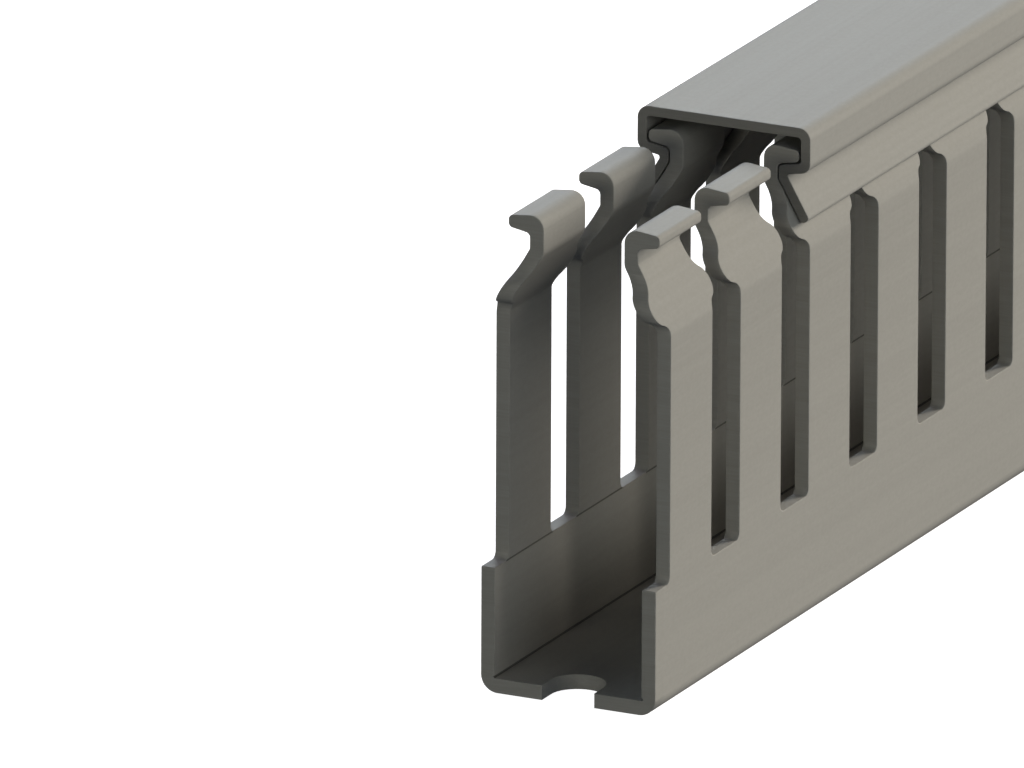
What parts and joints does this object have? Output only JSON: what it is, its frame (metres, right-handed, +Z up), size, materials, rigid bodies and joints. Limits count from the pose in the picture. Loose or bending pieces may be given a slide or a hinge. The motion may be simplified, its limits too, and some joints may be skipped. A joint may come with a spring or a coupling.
{
  "type": "slotted wire duct",
  "caption": "Narrow U-shaped plastic wire duct with slotted finger walls, hooked finger tops and a clip-on cover slid back to show the open end.",
  "frame": {"origin": "on the underside of the base, halfway across and halfway along the duct, not counting the cover", "axes": "+Y along the duct, from the end that the cover leaves bare to the end that it sticks out of; +X across; +Z up, towards the cover"},
  "size_m": [0.015, 0.5275, 0.04],
  "materials": {
    "duct_pvc": "extruded rigid PVC, stone grey, low sheen",
    "cover_pvc": "extruded rigid PVC, stone grey, low sheen"
  },
  "bodies": {
    "duct": {"duct_body": "duct_pvc"},
    "cover": {"cover": "cover_pvc"}
  },
  "joints": [
    {"name": "cover_slide", "type": "slide", "parent": "duct", "child": "cover", "axis": [0, 1, 0], "range_m": [-0.0275, 0.475]}
  ]
}
